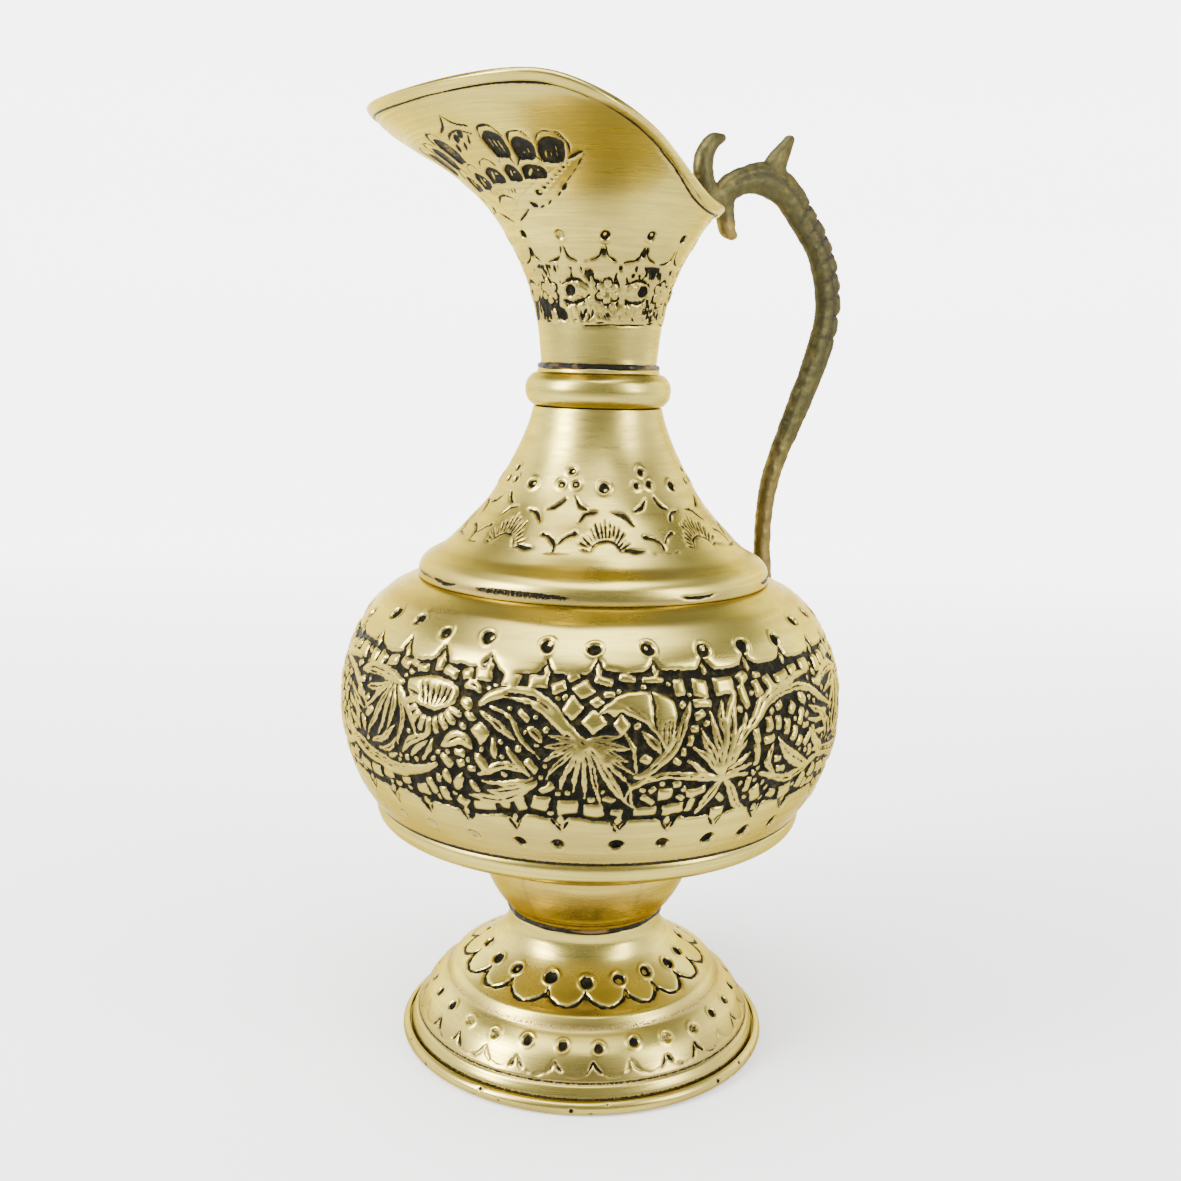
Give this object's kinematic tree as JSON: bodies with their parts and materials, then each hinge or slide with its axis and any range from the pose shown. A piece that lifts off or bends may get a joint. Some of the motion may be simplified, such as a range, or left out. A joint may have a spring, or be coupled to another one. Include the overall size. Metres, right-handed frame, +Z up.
{
  "type": "brass ewer",
  "caption": "Tall embossed brass ewer with a bulbous body, pedestal foot, beaded neck, obliquely cut trumpet mouth and a cast handle on the side opposite the pouring lip.",
  "frame": {"origin": "centre of the underside of the base plate, on the axis of the vessel and on the surface it stands on", "axes": "+Z up along the vessel's axis of revolution; the pouring lip points along -X and the handle stands on +X; +Y completes the right-handed frame"},
  "size_m": [0.1806, 0.1618, 0.299],
  "materials": {
    "brass_sheet": "circumferentially brushed, antiqued: dark patina in the embossing",
    "brass_cast": "as cast, dull grey-brown patina with rubbed golden edges",
    "solder": "dark rough solder line"
  },
  "bodies": {
    "root": {"base_plate": "brass_sheet", "foot_shell": "brass_sheet", "stem_collar": "brass_sheet", "stem_solder": "solder", "lower_bowl": "brass_sheet", "body_shell": "brass_sheet", "neck_cone": "brass_sheet", "neck_bead": "brass_sheet", "neck_solder": "solder", "mouth_spout": "brass_sheet", "mouth_rim_band": "brass_sheet", "handle": "brass_cast"}
  },
  "joints": []
}
